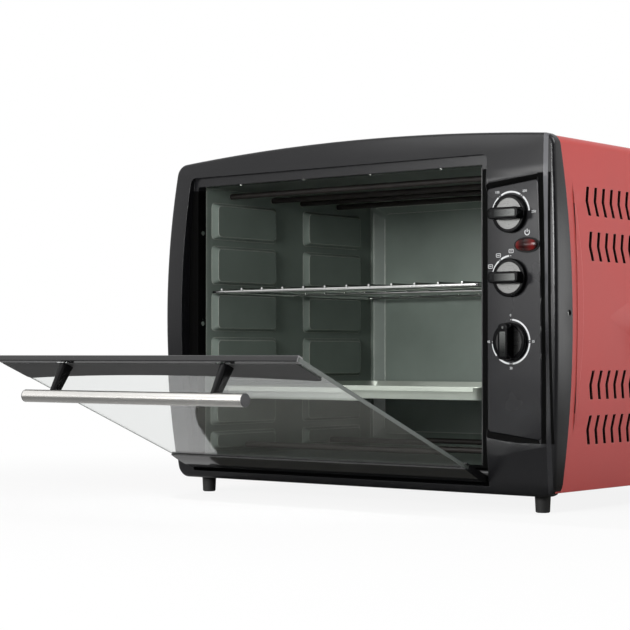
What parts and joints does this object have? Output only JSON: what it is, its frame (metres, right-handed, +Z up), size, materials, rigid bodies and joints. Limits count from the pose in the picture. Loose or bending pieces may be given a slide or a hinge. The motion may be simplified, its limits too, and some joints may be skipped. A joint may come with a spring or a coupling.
{
  "type": "countertop oven",
  "caption": "Countertop electric oven with bowed front frame, drop-down glass door with bar handle, rotary knobs, pressed cavity with rack, tray and heating rods.",
  "frame": {"origin": "under the middle of the part's rest-pose bounds, on the surface that the feet stand on", "axes": "+X to the right as seen from the front, +Y to the back, +Z up; the door opens towards -Y"},
  "size_m": [0.5274, 0.6872, 0.387],
  "materials": {
    "black_plastic": "satin black moulding",
    "panel_grey": "dark grey satin plate",
    "red_paint": "red paint on sheet",
    "zinc_steel": "zinc coated sheet",
    "liner_enamel": "dark grey-green enamel",
    "heater_sheath": "oxidised heater sheath",
    "ceramic_white": "white ceramic",
    "lamp_red": "clear red lens",
    "neon_glass": "neon tube",
    "control_resin": "moulded control body",
    "copper_bulb": "drawn copper tube",
    "screw_steel": "plated screws and pins",
    "door_glass": "clear toughened glass",
    "band_grey": "grey printed band",
    "gloss_black": "glossy black",
    "handle_steel": "brushed steel tube",
    "knob_silver": "silver disc and inlay",
    "foot_rubber": "black foot",
    "rack_chrome": "chromed wire",
    "tray_aluminium": "pressed aluminium tray"
  },
  "bodies": {
    "body": {"base_pan": "zinc_steel", "bottom_heating_rod_front": "heater_sheath", "bottom_heating_rod_rear": "heater_sheath", "control_panel": "panel_grey", "cord_gland": "black_plastic", "foot_front_left": "foot_rubber", "foot_front_right": "foot_rubber", "foot_rear_left": "foot_rubber", "foot_rear_right": "foot_rubber", "foot_screws": "screw_steel", "frame_side_screws": "screw_steel", "front_frame": "black_plastic", "hinge_bush_left": "screw_steel", "hinge_bush_right": "screw_steel", "jamb_screws": "screw_steel", "lamp_bezel": "black_plastic", "lamp_lens": "lamp_red", "liner_back_wall": "liner_enamel", "liner_floor": "liner_enamel", "liner_left_wall": "liner_enamel", "liner_right_wall": "liner_enamel", "liner_roof": "liner_enamel", "mode_switch": "control_resin", "neon_lamp": "neon_glass", "outer_cover": "red_paint", "partition_wall": "zinc_steel", "rear_panel": "zinc_steel", "rear_screws": "screw_steel", "rod_insulators": "ceramic_white", "shaft_nuts": "screw_steel", "terminal_block": "ceramic_white", "thermostat": "control_resin", "thermostat_bulb": "copper_bulb", "timer": "zinc_steel", "top_heating_rods_front": "heater_sheath", "top_heating_rods_rear": "heater_sheath"},
    "door": {"door_glass": "door_glass", "door_top_band": "band_grey", "door_top_trim": "gloss_black", "door_bottom_rail": "gloss_black", "handle_tube": "handle_steel", "handle_cap_left": "black_plastic", "handle_cap_right": "black_plastic", "handle_post_left": "black_plastic", "handle_post_right": "black_plastic", "handle_screws": "screw_steel", "hinge_pin_left": "screw_steel", "hinge_pin_right": "screw_steel"},
    "rack": {"wire_rack": "rack_chrome"},
    "tray": {"baking_tray": "tray_aluminium"},
    "knob_temperature_body": {"knob_temperature": "black_plastic", "knob_face_temperature": "knob_silver", "shaft_temperature": "screw_steel"},
    "knob_mode_body": {"knob_mode": "black_plastic", "knob_face_mode": "knob_silver", "shaft_mode": "screw_steel"},
    "knob_timer_body": {"knob_timer": "black_plastic", "knob_face_timer": "knob_silver", "shaft_timer": "screw_steel"}
  },
  "joints": [
    {"name": "door_hinge", "type": "hinge", "parent": "body", "child": "door", "pos_m": [0, -0.02839, 0.0365], "axis": [1, 0, 0], "range_deg": [-67.5, 0]},
    {"name": "rack_slide", "type": "slide", "parent": "body", "child": "rack", "axis": [0, -1, 0], "range_m": [0, 0.28]},
    {"name": "tray_slide", "type": "slide", "parent": "body", "child": "tray", "axis": [0, -1, 0], "range_m": [0, 0.19]},
    {"name": "temperature_turn", "type": "hinge", "parent": "body", "child": "knob_temperature_body", "pos_m": [0.2058, -0.03739, 0.2976], "axis": [0, 1, 0], "range_deg": [0, 180]},
    {"name": "mode_turn", "type": "hinge", "parent": "body", "child": "knob_mode_body", "pos_m": [0.2058, -0.03739, 0.2338], "axis": [0, 1, 0], "range_deg": [0, 95]},
    {"name": "timer_turn", "type": "hinge", "parent": "body", "child": "knob_timer_body", "pos_m": [0.2058, -0.03739, 0.1701], "axis": [0, 1, 0], "range_deg": [0, 270]}
  ]
}
